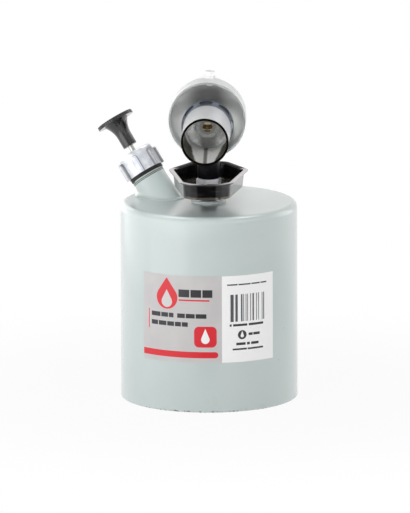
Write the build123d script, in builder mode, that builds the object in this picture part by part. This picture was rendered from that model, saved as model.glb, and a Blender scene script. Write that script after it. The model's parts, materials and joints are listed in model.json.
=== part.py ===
from build123d import *
import math
import os

os.makedirs("parts", exist_ok=True)

# Petrol blowlamp, in millimetres. Z is up, the origin is the middle of the
# tank's foot rim on the floor, the flame tube points along -Y and the pump
# leans out to the left, towards -X.

# General
fit = 0.08                     # radial clearance of fixed and running fits
seat_gap = 0.3                 # gap that keeps a moving cone or ball off its seat
hex_sides = 6
hex_turned_slope_share = 0.577  # fall of a nut's turned corners, height for width

# Tank
tank_d = 130.0
tank_height = 145.5
tank_wall = 1.2
shoulder_radius = 4.5
rim_radius = 1.5               # outer rounding of the rolled foot rim
rim_lip = 2.8                  # how far the rolled rim reaches inwards
bottom_recess = 6.0            # top of the bottom plate above the floor
bottom_wall = 1.0
bottom_radius = 2.5

# Filler neck, which also carries the pump
neck_azimuth = 155.0           # from +X, seen from above
neck_offset_share = 0.61538     # its place on the tank top, as a share of the tank's radius
neck_tilt = 34.5               # from the vertical, outwards
neck_top_d = 24.4
neck_root_d = 26.4             # where its axis meets the tank top
neck_bore = 21.0
neck_length = 18.4             # along its own axis, above the tank top
neck_flare = 3.4               # width of the welded foot
neck_foot = 0.7                # thickness of the welded foot's edge

# Burner boss on the tank top
boss_flange_d = 26.0
boss_flange_height = 2.0
boss_flange_edge = 0.5
boss_spigot_d = 20.0
boss_spigot_depth = 9.0

# Riser, dip tube and strainer
riser_od = 12.0
riser_bore = 8.0
riser_depth = 7.5              # how far it screws into the boss, below the tank top
riser_collar_d = 19.0
riser_collar_height = 2.0
dip_wall = 0.8
dip_engagement = 12.0          # how far the dip tube is pressed into the riser
dip_floor_gap = 12.0           # dip tube's end above the bottom plate
strainer_od = 13.0
strainer_wall = 0.6
strainer_height = 18.0
strainer_below = 4.0           # strainer's bottom below the dip tube's end

# Priming pan
pan_rise = 11.3                # underside of the pan above the tank top
pan_depth = 12.4
pan_sheet = 0.8
pan_lip = 2.7
pan_rim_half_width = 29.4
pan_rim_rear = 30.6            # +Y reach of the rim
pan_rim_front = 59.5           # -Y reach of the rim
pan_draft = 1.4                # how much each side wall leans in, over the depth
pan_front_draft = 3.3          # how much the front wall leans in
pan_corner_radius = 8.0
pan_rear_share = 0.41          # corners as shares of half width and of length
pan_wide_share = 0.34
pan_front_width_share = 0.655
pan_front_length_share = 0.917
pan_nose_width_share = 0.36
pan_nut_width = 16.5
pan_nut_height = 5.2
pan_nut_turn = 17.0

# Burner axis, and the stack of pieces on the casting's nose, front to rear
burner_rise = 41.7             # burner's axis above the casting's foot
barrel_front = 2.0             # +Y place of the barrel's front face
barrel_d = 26.0
barrel_length = 30.0
barrel_edge = 2.0
casting_nose_d = 12.0
nose_length = 22.0
body_foot_d = 16.4
body_foot_lap = 1.7            # the foot covers this much of the arm's bend
body_foot_gap = 0.6            # foot's underside above the pan's nut
body_foot_edge = 0.8
arm_d = 13.0
arm_rise = 15.0                # straight rise above the foot's underside
arm_lean_top = 12.0            # the lean ends this far below the burner axis
arm_bend = 9.0
fuel_bore = 5.0
chamber_d = 9.0
seat_d = 2.4
seat_set_back = 1.5            # seat face behind the barrel's front face

# Needle valve
spindle_d = 6.0
spindle_tip_d = 1.4
spindle_taper = 5.0
spindle_end_d = 5.0
spindle_thread = 4.0           # height of the handwheel's nut
spindle_thread_end = 1.0       # thread that shows past the nut
packing_d = 13.0
packing_length = 5.0
gland_stub_length = 8.0
gland_head_width = 17.0
gland_head_height = 6.0
wheel_d = 32.0
wheel_thickness = 8.0
wheel_gap = 8.0                # between gland nut and handwheel
wheel_web = 4.0
wheel_hub_d = 12.0
wheel_rim = 4.0
wheel_lobes = 8
wheel_scallop_radius = 4.0
wheel_scallop_depth = 1.3
wheel_edge = 0.8
wheel_nut_width = 8.0

# Wind hood
hood_d = 56.4
hood_wall = 1.2
hood_rise = 6.4                # hood's axis above the burner's axis
hood_rim = 30.0                # -Y place of the rim
hood_dome_radius = 12.2
hood_boss_d = 8.0
hood_boss_height = 2.4
hood_screw_forward = 12.0      # -Y place of the screw
hood_screw_turn = 3.0          # from the top, towards +X
hood_screw_d = 4.0
hood_screw_head_width = 7.0
hood_screw_head_height = 3.0
hood_nut_height = 3.0
hood_screw_tail = 1.0

# Spacer sleeve, flame tube, its nut and the jet
sleeve_od = 18.0
tube_rear = 13.0               # -Y place of the flame tube's rear wall
tube_mouth = 80.0              # -Y place of the mouth
tube_od = 35.0
tube_wall = 1.6
collar_d = 38.4
collar_length = 9.0
collar_flare = 8.0
collar_edge = 3.0
air_hole_count = 8
air_hole_width = 10.0          # round the collar
air_hole_length = 6.6          # along the tube
air_hole_forward = 10.5        # from the rear wall
air_hole_turn = -3.0           # first hole, from the top towards +X
tube_nut_width = 17.0
tube_nut_height = 4.0
jet_stub_d = 5.0
jet_stub_length = 6.0
jet_hex_width = 6.5
jet_hex_height = 2.5
jet_d = 5.0
jet_length = 3.2
jet_tip_d = 3.0
jet_tip_length = 1.4
jet_bore = 2.0
jet_orifice = 0.7
jet_orifice_depth = 1.5

# Pump cap and gasket; places along the pump axis start at the neck's foot
gasket_d = 26.0
gasket_height = 2.7
cap_d = 26.8
cap_height = 17.0
cap_edge = 2.2
cap_lug_count = 6
cap_lug_reach = 2.2            # how far a lug stands out
cap_lug_width = 5.0
cap_lug_top = 3.6              # lug's round end below the cap's top
cap_lug_turn = 18.0
cap_spigot_length = 9.0
guide_d = 10.0
guide_below = 6.0              # how far the guide hangs into the barrel
barrel_top_in_cap = 6.0        # barrel's end above the cap's lower face

# Pump barrel and foot valve
pump_barrel_od = 18.0
pump_barrel_bore = 16.0
pump_barrel_offset = 14.5      # how near the barrel's end comes to the tank's axis
valve_plug_length = 7.5        # part of the valve body inside the barrel
valve_flange_height = 1.5
valve_nose_d = 10.0
valve_chamber_d = 6.0
valve_ball_d = 5.0
valve_port_d = 2.6
valve_port_length = 3.0
valve_ball_travel = 1.2
valve_end_height = 2.0

# Plunger
rod_d = 4.0
rod_show = 5.2                 # rod between cap and knob with the pump pressed home
knob_height = 23.4
knob_stem_d = 10.8
knob_stem_height = 8.5
knob_flare_d = 19.6
knob_disc_d = 28.5
knob_disc_height = 2.8
knob_edge = 0.6
knob_notch_count = 48
knob_notch_radius = 0.45
knob_socket = 12.0             # how far the rod goes into the knob
piston_gap = 1.2               # cup's edge above the foot valve, pump pressed home
cup_height = 6.0
cup_wall = 1.2
washer_height = 1.0
washer_share = 0.8             # washer's width as a share of the cup's
piston_nut_width = 7.0
piston_nut_height = 3.0

# Handle
strip_width = 20.0
strip_thickness = 2.5
strip_bend = 5.0
strip_end_gap = 6.0            # between the grip's ends and the strip's arms
strip_foot = 13.0
handle_reach = 47.0            # strip's middle behind the tank's wall
handle_mid_share = 0.536       # height of the grip's middle, as a share of the tank's
grip_length = 88.0
grip_half_width = 14.0         # across, at the middle
grip_half_depth = 16.5         # front to back, at the middle
grip_end_share = 0.78
grip_quarter_share = 0.93
grip_quarter_place_share = 0.32
grip_edge = 2.0
screw_d = 4.0
screw_head_d = 8.0
screw_head_height = 2.6
screw_spacing = 50.0
screw_slot = 1.0
screw_clamp = 11.0             # head and nut seats, each side of the strip's middle
screw_nut_width = 7.0
screw_nut_height = 3.2

# Derived places and radii
tank_r = tank_d / 2
tank_inner_r = tank_r - tank_wall
rim_inner_r = tank_r - rim_lip
riser_bottom_z = tank_height - riser_depth
pan_floor_z = tank_height + pan_rise
pan_inside_z = pan_floor_z + pan_sheet
pan_rim_z = pan_floor_z + pan_depth
body_foot_z = pan_inside_z + pan_nut_height + body_foot_gap
burner_z = body_foot_z + burner_rise
dip_bottom_z = bottom_recess + dip_floor_gap
barrel_rear = barrel_front + barrel_length
arm_y = barrel_front + barrel_length / 2
arm_lean = math.atan2(arm_y, burner_rise - arm_lean_top - arm_rise)
body_foot_height = arm_rise - arm_bend * math.tan(arm_lean / 2) + body_foot_lap
riser_top_z = body_foot_z + body_foot_height
seat_y = barrel_front - seat_set_back
nose_front = nose_length - barrel_front
packing_front = barrel_rear - packing_length - gland_stub_length
gland_rear = barrel_rear + gland_head_height
wheel_front = gland_rear + wheel_gap
wheel_rear = wheel_front + wheel_thickness
hood_z = burner_z + hood_rise
hood_r = hood_d / 2
hood_inner_r = hood_r - hood_wall
hood_screw_seat = hood_r + hood_boss_height
hood_nut_corner = hood_screw_head_width / math.sqrt(3)
hood_nut_top = math.sqrt(hood_inner_r**2 - hood_nut_corner**2)
hood_screw_end = hood_nut_top - hood_nut_height - hood_screw_tail
gasket_top = neck_length + gasket_height
cap_top = gasket_top + cap_height
knob_bottom = cap_top + rod_show
knob_top = knob_bottom + knob_height
barrel_top = gasket_top + barrel_top_in_cap
tilt = math.radians(neck_tilt)
neck_offset = tank_r * neck_offset_share
pump_barrel_below = (neck_offset - pump_barrel_offset) / math.sin(tilt)
valve_top = valve_plug_length - pump_barrel_below
cup_d = pump_barrel_bore - fit * 2
cup_bottom = valve_top + piston_gap
cup_top = cup_bottom + cup_height
lower_washer_bottom = cup_top - cup_wall - washer_height
rod_bottom = lower_washer_bottom - piston_nut_height
handle_y = tank_r + handle_reach
handle_mid_z = tank_height * handle_mid_share
strip_top_z = handle_mid_z + grip_length / 2 + strip_end_gap
strip_bottom_z = handle_mid_z - grip_length / 2 - strip_end_gap

# Frames: the pump's axis, and the burner's axis, which points forward
azimuth = math.radians(neck_azimuth)
outward = Vector(math.cos(azimuth), math.sin(azimuth), 0)
sideways = Vector(-math.sin(azimuth), math.cos(azimuth), 0)
pump_dir = outward * math.sin(tilt) + Vector(0, 0, 1) * math.cos(tilt)
pump_foot = outward * neck_offset + Vector(0, 0, tank_height)
pump_plane = Plane(origin=pump_foot, x_dir=sideways, z_dir=pump_dir)
pump_section = Plane(origin=pump_foot, x_dir=sideways, z_dir=sideways.cross(pump_dir))
pump_axis = Axis(pump_foot, pump_dir)
burner_origin = Vector(0, 0, burner_z)
burner_plane = Plane(origin=burner_origin, x_dir=(1, 0, 0), z_dir=(0, -1, 0))
burner_back = Plane(origin=burner_origin, x_dir=(1, 0, 0), z_dir=(0, 1, 0))
burner_section = Plane(origin=burner_origin, x_dir=(1, 0, 0), z_dir=(0, 0, -1))
burner_axis = Axis(burner_origin, (0, -1, 0))
hood_screw_angle = math.radians(hood_screw_turn)
hood_screw_plane = Plane(origin=(0, -hood_screw_forward, hood_z), x_dir=(0, 1, 0),
                         z_dir=(math.sin(hood_screw_angle), 0, math.cos(hood_screw_angle)))
screw_plane = Plane(origin=(0, handle_y, handle_mid_z), x_dir=(1, 0, 0), z_dir=(0, 1, 0))


def outline(*points):
    """A closed straight-sided face in the sketch that is open."""
    with BuildLine() as border:
        Polyline(*points, close=True)
    make_face(border.edges())


def round_corner(sketch, x, y, radius):
    """Rounds the corner of the sketch that lies at x, y."""
    corner = sketch.vertices().sort_by_distance((x, y, 0))[0]
    fillet(corner, radius)


def hexagon(width, turn=0):
    """A hexagon of the given width across flats."""
    RegularPolygon(radius=width / 2, side_count=hex_sides, major_radius=False, rotation=turn)


def hexagon_block(base, width, height, turn=0):
    """A hexagon nut or head on the base plane in the open part, its outer corners turned off."""
    with BuildSketch(base) as flats:
        hexagon(width, turn)
    extrude(flats.sketch, amount=height)
    clear_r = width / math.sqrt(3) + fit
    turned_height = height - (clear_r - width / 2) * hex_turned_slope_share
    with BuildSketch(Plane(origin=base.origin, x_dir=base.x_dir, z_dir=-base.y_dir)) as turned:
        outline((0, 0), (clear_r, 0), (clear_r, turned_height), (width / 2, height), (0, height))
    revolve(turned.sketch, axis=Axis(base.origin, base.z_dir), mode=Mode.INTERSECT)


def bore(base, radius, depth):
    """A round hole of the given depth, from the base plane along its axis, in the open part."""
    with BuildSketch(base) as opening:
        Circle(radius)
    extrude(opening.sketch, amount=depth, mode=Mode.SUBTRACT)


# Tank shell, with its rolled foot rim and the openings for boss and neck
with BuildPart() as tank_shell:
    with BuildSketch(Plane.XZ) as shell_section:
        boss_hole_r = boss_spigot_d / 2 + fit
        outline(
            (boss_hole_r, tank_height),
            (tank_r, tank_height),
            (tank_r, 0),
            (rim_inner_r, 0),
            (rim_inner_r, tank_wall),
            (tank_inner_r, tank_wall),
            (tank_inner_r, tank_height - tank_wall),
            (boss_hole_r, tank_height - tank_wall),
        )
        round_corner(shell_section, tank_r, tank_height, shoulder_radius)
        round_corner(shell_section, tank_inner_r, tank_height - tank_wall, shoulder_radius - tank_wall)
        round_corner(shell_section, tank_r, 0, rim_radius)
    revolve(axis=Axis.Z)
    with BuildSketch(pump_plane):
        Circle(neck_bore / 2)
    extrude(amount=neck_bore / 2, both=True, mode=Mode.SUBTRACT)
tank_shell.part.label = "tank_shell"
export_step(tank_shell.part, "parts/tank_shell.step")

# Bottom plate, recessed, with its flange standing in the rolled rim
with BuildPart() as tank_bottom:
    bottom_r = tank_inner_r - fit
    with BuildSketch(Plane.XZ) as bottom_section:
        outline(
            (0, bottom_recess),
            (bottom_r, bottom_recess),
            (bottom_r, tank_wall),
            (bottom_r - bottom_wall, tank_wall),
            (bottom_r - bottom_wall, bottom_recess - bottom_wall),
            (0, bottom_recess - bottom_wall),
        )
        round_corner(bottom_section, bottom_r, bottom_recess, bottom_radius)
        round_corner(bottom_section, bottom_r - bottom_wall, bottom_recess - bottom_wall,
                     bottom_radius - bottom_wall)
    revolve(axis=Axis.Z)
tank_bottom.part.label = "tank_bottom"
export_step(tank_bottom.part, "parts/tank_bottom.step")

# Filler neck with its welded foot, cut level with the tank top
with BuildPart() as filler_neck:
    neck_r = neck_root_d / 2
    neck_spread = (neck_root_d - neck_top_d) / 2 / neck_length
    with BuildSketch(pump_section):
        outline(
            (0, neck_length),
            (neck_top_d / 2, neck_length),
            (neck_r + neck_spread * neck_r, -neck_r),
            (0, -neck_r),
        )
    revolve(axis=pump_axis)
    split(bisect_by=Plane.XY.offset(tank_height), keep=Keep.TOP)
    with BuildSketch(Plane(origin=pump_foot, x_dir=outward, z_dir=(0, 0, 1))):
        Ellipse(neck_r / math.cos(tilt) + neck_flare, neck_r + neck_flare)
    extrude(amount=neck_foot)
    joint_edge = filler_neck.edges().filter_by(
        lambda edge: edge.geom_type == GeomType.ELLIPSE
        and abs(edge.center().Z - tank_height - neck_foot) < fit
    ).sort_by(SortBy.LENGTH)[0]
    fillet(joint_edge, neck_flare - neck_foot)
    with BuildSketch(pump_plane.offset(-neck_r)):
        Circle(neck_bore / 2)
    extrude(amount=neck_r + neck_length, mode=Mode.SUBTRACT)
filler_neck.part.label = "filler_neck"
export_step(filler_neck.part, "parts/filler_neck.step")

# Threaded boss in the middle of the tank top
with BuildPart() as burner_boss:
    with BuildSketch(Plane.XZ):
        boss_bore_r = riser_od / 2 + fit
        outline(
            (boss_bore_r, tank_height - boss_spigot_depth),
            (boss_spigot_d / 2, tank_height - boss_spigot_depth),
            (boss_spigot_d / 2, tank_height),
            (boss_flange_d / 2, tank_height),
            (boss_flange_d / 2, tank_height + boss_flange_height),
            (boss_bore_r, tank_height + boss_flange_height),
        )
    revolve(axis=Axis.Z)
    fillet(burner_boss.edges().group_by(Axis.Z)[-1].sort_by(SortBy.RADIUS)[-1], boss_flange_edge)
burner_boss.part.label = "burner_boss"
export_step(burner_boss.part, "parts/burner_boss.step")

# Riser tube with the collar that carries the pan
with BuildPart() as riser_tube:
    with BuildSketch(Plane.XY.offset(riser_bottom_z)):
        Circle(riser_od / 2)
    extrude(amount=riser_top_z - riser_bottom_z)
    with BuildSketch(Plane.XY.offset(pan_floor_z - riser_collar_height)):
        Circle(riser_collar_d / 2)
    extrude(amount=riser_collar_height)
    with BuildSketch(Plane.XY.offset(riser_bottom_z)):
        Circle(riser_bore / 2)
    extrude(amount=riser_top_z - riser_bottom_z, mode=Mode.SUBTRACT)
riser_tube.part.label = "riser_tube"
export_step(riser_tube.part, "parts/riser_tube.step")

# Dip tube, pressed into the riser
with BuildPart() as dip_tube:
    dip_r = riser_bore / 2 - fit
    with BuildSketch(Plane.XY.offset(dip_bottom_z)):
        Circle(dip_r)
        Circle(dip_r - dip_wall, mode=Mode.SUBTRACT)
    extrude(amount=riser_bottom_z + dip_engagement - dip_bottom_z)
dip_tube.part.label = "dip_tube"
export_step(dip_tube.part, "parts/dip_tube.step")

# Strainer cup on the dip tube's end
with BuildPart() as fuel_strainer:
    strainer_bottom_z = dip_bottom_z - strainer_below
    strainer_top_z = strainer_bottom_z + strainer_height
    strainer_r = strainer_od / 2
    with BuildSketch(Plane.XZ):
        outline(
            (0, strainer_bottom_z),
            (strainer_r, strainer_bottom_z),
            (strainer_r, strainer_top_z),
            (dip_r + fit, strainer_top_z),
            (dip_r + fit, strainer_top_z - strainer_wall),
            (strainer_r - strainer_wall, strainer_top_z - strainer_wall),
            (strainer_r - strainer_wall, strainer_bottom_z + strainer_wall),
            (0, strainer_bottom_z + strainer_wall),
        )
    revolve(axis=Axis.Z)
fuel_strainer.part.label = "fuel_strainer"
export_step(fuel_strainer.part, "parts/fuel_strainer.step")


def pan_outline(half_width, rear, front, mode=Mode.ADD):
    """The pan's eight-sided outline, with rounded corners, in the open sketch."""
    length = rear + front
    right = [
        (half_width * pan_rear_share, rear),
        (half_width, rear - length * pan_wide_share),
        (half_width * pan_front_width_share, rear - length * pan_front_length_share),
        (half_width * pan_nose_width_share, -front),
    ]
    left = [(-x, y) for x, y in reversed(right)]
    with BuildLine() as border:
        FilletPolyline(*right, *left, radius=pan_corner_radius, close=True)
    make_face(border.edges(), mode=mode)


# Priming pan: a tray with sloping walls and an outward lip
with BuildPart() as priming_pan:
    wall_half_width = pan_rim_half_width - pan_lip
    wall_rear = pan_rim_rear - pan_lip
    wall_front = pan_rim_front - pan_lip
    for sheet, mode in ((0, Mode.ADD), (pan_sheet, Mode.SUBTRACT)):
        with BuildSketch(Plane.XY.offset(pan_floor_z + sheet)):
            pan_outline(wall_half_width - pan_draft - sheet, wall_rear - pan_draft - sheet,
                        wall_front - pan_front_draft - sheet)
        with BuildSketch(Plane.XY.offset(pan_rim_z)):
            pan_outline(wall_half_width - sheet, wall_rear - sheet, wall_front - sheet)
        loft(ruled=True, mode=mode)
    with BuildSketch(Plane.XY.offset(pan_rim_z - pan_sheet)):
        pan_outline(pan_rim_half_width, pan_rim_rear, pan_rim_front)
        pan_outline(wall_half_width - pan_sheet, wall_rear - pan_sheet, wall_front - pan_sheet,
                    mode=Mode.SUBTRACT)
    extrude(amount=pan_sheet)
    with BuildSketch(Plane.XY.offset(pan_floor_z)):
        Circle(riser_od / 2 + fit)
    extrude(amount=pan_sheet, mode=Mode.SUBTRACT)
priming_pan.part.label = "priming_pan"
export_step(priming_pan.part, "parts/priming_pan.step")

# Nut that clamps the pan on the riser's collar
with BuildPart() as pan_nut:
    hexagon_block(Plane.XY.offset(pan_inside_z), pan_nut_width, pan_nut_height, pan_nut_turn)
    bore(Plane.XY.offset(pan_inside_z), riser_od / 2 + fit, pan_nut_height)
pan_nut.part.label = "pan_nut"
export_step(pan_nut.part, "parts/pan_nut.step")

# Burner casting: foot on the riser, leaning arm, barrel for the valve and nose for the jet
with BuildPart() as burner_body:
    barrel_r = barrel_d / 2
    nose_r = casting_nose_d / 2
    packing_r = packing_d / 2 + fit
    jet_socket = nose_front - jet_stub_length
    with BuildSketch(burner_section) as barrel_section:
        outline(
            (0, -barrel_rear),
            (barrel_r, -barrel_rear),
            (barrel_r, -barrel_front),
            (nose_r, -barrel_front),
            (nose_r, nose_front),
            (0, nose_front),
        )
        round_corner(barrel_section, barrel_r, -barrel_rear, barrel_edge)
    revolve(axis=burner_axis)
    with BuildLine(Plane.YZ) as arm_path:
        FilletPolyline(
            (0, body_foot_z),
            (0, body_foot_z + arm_rise),
            (arm_y, burner_z - arm_lean_top),
            (arm_y, burner_z),
            radius=arm_bend,
        )
    with BuildSketch(Plane.XY.offset(body_foot_z)):
        Circle(arm_d / 2)
    sweep(path=arm_path.line)
    with BuildSketch(Plane.XY.offset(body_foot_z)):
        Circle(body_foot_d / 2)
    extrude(amount=body_foot_height)
    fillet(burner_body.edges().filter_by(GeomType.CIRCLE).sort_by_distance(
        (0, -body_foot_d / 2, body_foot_z + body_foot_height))[0], body_foot_edge)
    with BuildSketch(Plane.XY.offset(body_foot_z)):
        Circle(riser_od / 2 + fit)
    extrude(amount=body_foot_height, mode=Mode.SUBTRACT)
    with BuildSketch(Plane.XY.offset(body_foot_z)):
        Circle(fuel_bore / 2)
    sweep(path=arm_path.line, mode=Mode.SUBTRACT)
    with BuildSketch(burner_section):
        outline(
            (0, -barrel_rear),
            (packing_r, -barrel_rear),
            (packing_r, -packing_front),
            (chamber_d / 2, -packing_front),
            (chamber_d / 2, -seat_y),
            (seat_d / 2, -seat_y),
            (seat_d / 2, jet_socket),
            (jet_stub_d / 2 + fit, jet_socket),
            (jet_stub_d / 2 + fit, nose_front),
            (0, nose_front),
        )
    revolve(axis=burner_axis, mode=Mode.SUBTRACT)
burner_body.part.label = "burner_body"
export_step(burner_body.part, "parts/burner_body.step")

# Packing ring round the spindle
with BuildPart() as gland_packing:
    with BuildSketch(burner_plane.offset(-packing_front - packing_length)):
        Circle(packing_d / 2)
        Circle(spindle_d / 2 + fit, mode=Mode.SUBTRACT)
    extrude(amount=packing_length)
gland_packing.part.label = "gland_packing"
export_step(gland_packing.part, "parts/gland_packing.step")

# Gland nut: hexagon head and the stub that presses the packing
with BuildPart() as gland_nut:
    hexagon_block(burner_back.offset(barrel_rear), gland_head_width, gland_head_height)
    with BuildSketch(burner_plane.offset(-barrel_rear)):
        Circle(packing_d / 2)
    extrude(amount=gland_stub_length)
    bore(burner_plane.offset(-gland_rear), spindle_d / 2 + fit, gland_head_height + gland_stub_length)
gland_nut.part.label = "gland_nut"
export_step(gland_nut.part, "parts/gland_nut.step")

# Needle spindle, its cone just off the seat
with BuildPart() as valve_spindle:
    spindle_r = spindle_d / 2
    tip_r = spindle_tip_d / 2
    taper_slope = (spindle_r - tip_r) / spindle_taper
    tip_reach = (seat_d / 2 - tip_r) / taper_slope - seat_gap
    tip_front = tip_reach - seat_y
    spindle_rear = wheel_rear + spindle_thread + spindle_thread_end
    with BuildSketch(burner_section):
        outline(
            (0, tip_front),
            (tip_r, tip_front),
            (spindle_r, tip_front - spindle_taper),
            (spindle_r, -wheel_front),
            (spindle_end_d / 2, -wheel_front),
            (spindle_end_d / 2, -spindle_rear),
            (0, -spindle_rear),
        )
    revolve(axis=burner_axis)
valve_spindle.part.label = "valve_spindle"
export_step(valve_spindle.part, "parts/valve_spindle.step")

# Handwheel: hub, web and rim, with finger scallops round the rim
with BuildPart() as handwheel:
    wheel_r = wheel_d / 2
    hub_r = wheel_hub_d / 2
    rim_r = wheel_r - wheel_rim
    web_front = wheel_front + (wheel_thickness - wheel_web) / 2
    web_rear = web_front + wheel_web
    bore_r = spindle_end_d / 2 + fit
    with BuildSketch(burner_section) as wheel_section:
        outline(
            (bore_r, -wheel_front),
            (hub_r, -wheel_front),
            (hub_r, -web_front),
            (rim_r, -web_front),
            (rim_r, -wheel_front),
            (wheel_r, -wheel_front),
            (wheel_r, -wheel_rear),
            (rim_r, -wheel_rear),
            (rim_r, -web_rear),
            (hub_r, -web_rear),
            (hub_r, -wheel_rear),
            (bore_r, -wheel_rear),
        )
        round_corner(wheel_section, wheel_r, -wheel_front, wheel_edge)
        round_corner(wheel_section, wheel_r, -wheel_rear, wheel_edge)
    revolve(axis=burner_axis)
    with BuildSketch(burner_plane.offset(-wheel_rear)):
        with PolarLocations(wheel_r + wheel_scallop_radius - wheel_scallop_depth, wheel_lobes):
            Circle(wheel_scallop_radius)
    extrude(amount=wheel_thickness, mode=Mode.SUBTRACT)
handwheel.part.label = "handwheel"
export_step(handwheel.part, "parts/handwheel.step")

# Nut on the spindle's end
with BuildPart() as handwheel_nut:
    hexagon_block(burner_back.offset(wheel_rear), wheel_nut_width, spindle_thread)
    bore(burner_back.offset(wheel_rear), bore_r, spindle_thread)
handwheel_nut.part.label = "handwheel_nut"
export_step(handwheel_nut.part, "parts/handwheel_nut.step")

# Wind hood: a bowl round the burner, with the boss for its screw
with BuildPart() as wind_hood:
    with BuildSketch(Plane(origin=(0, 0, hood_z), x_dir=(1, 0, 0), z_dir=(0, 0, -1))) as hood_section:
        hood_floor = hood_wall - barrel_front
        outline(
            (0, -barrel_front),
            (hood_r, -barrel_front),
            (hood_r, hood_rim),
            (hood_inner_r, hood_rim),
            (hood_inner_r, hood_floor),
            (0, hood_floor),
        )
        round_corner(hood_section, hood_r, -barrel_front, hood_dome_radius)
        round_corner(hood_section, hood_inner_r, hood_floor, hood_dome_radius - hood_wall)
    revolve(axis=Axis((0, 0, hood_z), (0, -1, 0)))
    with BuildSketch(hood_screw_plane.offset(hood_r - hood_wall / 2)):
        Circle(hood_boss_d / 2)
    extrude(amount=hood_boss_height + hood_wall / 2)
    with BuildSketch(hood_screw_plane.offset(hood_inner_r - hood_wall)):
        Circle(hood_screw_d / 2 + fit)
    extrude(amount=hood_boss_height + hood_wall * 2, mode=Mode.SUBTRACT)
    with BuildSketch(burner_plane.offset(-barrel_front)):
        Circle(nose_r + fit)
    extrude(amount=hood_wall, mode=Mode.SUBTRACT)
wind_hood.part.label = "wind_hood"
export_step(wind_hood.part, "parts/wind_hood.step")

# Hood screw, and its nut inside the bowl
with BuildPart() as hood_screw:
    hexagon_block(hood_screw_plane.offset(hood_screw_seat), hood_screw_head_width, hood_screw_head_height)
    with BuildSketch(hood_screw_plane.offset(hood_screw_end)):
        Circle(hood_screw_d / 2)
    extrude(amount=hood_screw_seat - hood_screw_end)
hood_screw.part.label = "hood_screw"
export_step(hood_screw.part, "parts/hood_screw.step")

with BuildPart() as hood_nut:
    with BuildSketch(hood_screw_plane.offset(hood_nut_top - hood_nut_height)):
        hexagon(hood_screw_head_width)
        Circle(hood_screw_d / 2 + fit, mode=Mode.SUBTRACT)
    extrude(amount=hood_nut_height)
hood_nut.part.label = "hood_nut"
export_step(hood_nut.part, "parts/hood_nut.step")

# Sleeve between the hood's base and the flame tube
with BuildPart() as spacer_sleeve:
    with BuildSketch(burner_plane.offset(hood_floor)):
        Circle(sleeve_od / 2)
        Circle(nose_r + fit, mode=Mode.SUBTRACT)
    extrude(amount=tube_rear - hood_floor)
spacer_sleeve.part.label = "spacer_sleeve"
export_step(spacer_sleeve.part, "parts/spacer_sleeve.step")

# Flame tube: rear wall, wider collar with air holes, flare and plain barrel
with BuildPart() as flame_tube:
    tube_r = tube_od / 2
    collar_r = collar_d / 2
    collar_front = tube_rear + collar_length
    flare_front = collar_front + collar_flare
    with BuildSketch(burner_section) as tube_section:
        outline(
            (nose_r + fit, tube_rear),
            (collar_r, tube_rear),
            (collar_r, collar_front),
            (tube_r, flare_front),
            (tube_r, tube_mouth),
            (tube_r - tube_wall, tube_mouth),
            (tube_r - tube_wall, flare_front),
            (collar_r - tube_wall, collar_front),
            (collar_r - tube_wall, tube_rear + tube_wall),
            (nose_r + fit, tube_rear + tube_wall),
        )
        round_corner(tube_section, collar_r, tube_rear, collar_edge)
        round_corner(tube_section, collar_r - tube_wall, tube_rear + tube_wall, collar_edge - tube_wall)
    revolve(axis=burner_axis)
    for hole in range(air_hole_count):
        angle = math.radians(air_hole_turn + hole * 360 / air_hole_count)
        hole_plane = Plane(
            origin=burner_origin - Vector(0, tube_rear + air_hole_forward, 0),
            x_dir=(math.cos(angle), 0, -math.sin(angle)),
            z_dir=(math.sin(angle), 0, math.cos(angle)),
        )
        with BuildSketch(hole_plane):
            SlotOverall(air_hole_width, air_hole_length)
        extrude(amount=collar_r, mode=Mode.SUBTRACT)
flame_tube.part.label = "flame_tube"
export_step(flame_tube.part, "parts/flame_tube.step")

# Nut that clamps tube, sleeve and hood against the casting
with BuildPart() as tube_nut:
    hexagon_block(burner_plane.offset(tube_rear + tube_wall), tube_nut_width, tube_nut_height)
    bore(burner_plane.offset(tube_rear + tube_wall), nose_r + fit, tube_nut_height)
tube_nut.part.label = "tube_nut"
export_step(tube_nut.part, "parts/tube_nut.step")

# Jet: threaded stub, hexagon, plain stem with a coned tip and a fine orifice
with BuildPart() as jet_nozzle:
    hexagon_block(burner_plane.offset(nose_front), jet_hex_width, jet_hex_height)
    with BuildSketch(burner_plane.offset(jet_socket)):
        Circle(jet_stub_d / 2)
    extrude(amount=jet_stub_length)
    jet_stem = nose_front + jet_hex_height
    jet_front = jet_stem + jet_length
    with BuildSketch(burner_section):
        outline(
            (0, jet_stem),
            (jet_d / 2, jet_stem),
            (jet_d / 2, jet_front - jet_tip_length),
            (jet_tip_d / 2, jet_front),
            (0, jet_front),
        )
    revolve(axis=burner_axis)
    with BuildSketch(burner_section):
        outline(
            (0, jet_socket),
            (jet_bore / 2, jet_socket),
            (jet_bore / 2, jet_front - jet_orifice_depth),
            (jet_orifice / 2, jet_front - jet_orifice_depth),
            (jet_orifice / 2, jet_front),
            (0, jet_front),
        )
    revolve(axis=burner_axis, mode=Mode.SUBTRACT)
jet_nozzle.part.label = "jet_nozzle"
export_step(jet_nozzle.part, "parts/jet_nozzle.step")

# Gasket between neck and pump cap
with BuildPart() as cap_gasket:
    with BuildSketch(pump_plane.offset(neck_length)):
        Circle(gasket_d / 2)
        Circle(neck_bore / 2, mode=Mode.SUBTRACT)
    extrude(amount=gasket_height)
cap_gasket.part.label = "cap_gasket"
export_step(cap_gasket.part, "parts/cap_gasket.step")

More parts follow.
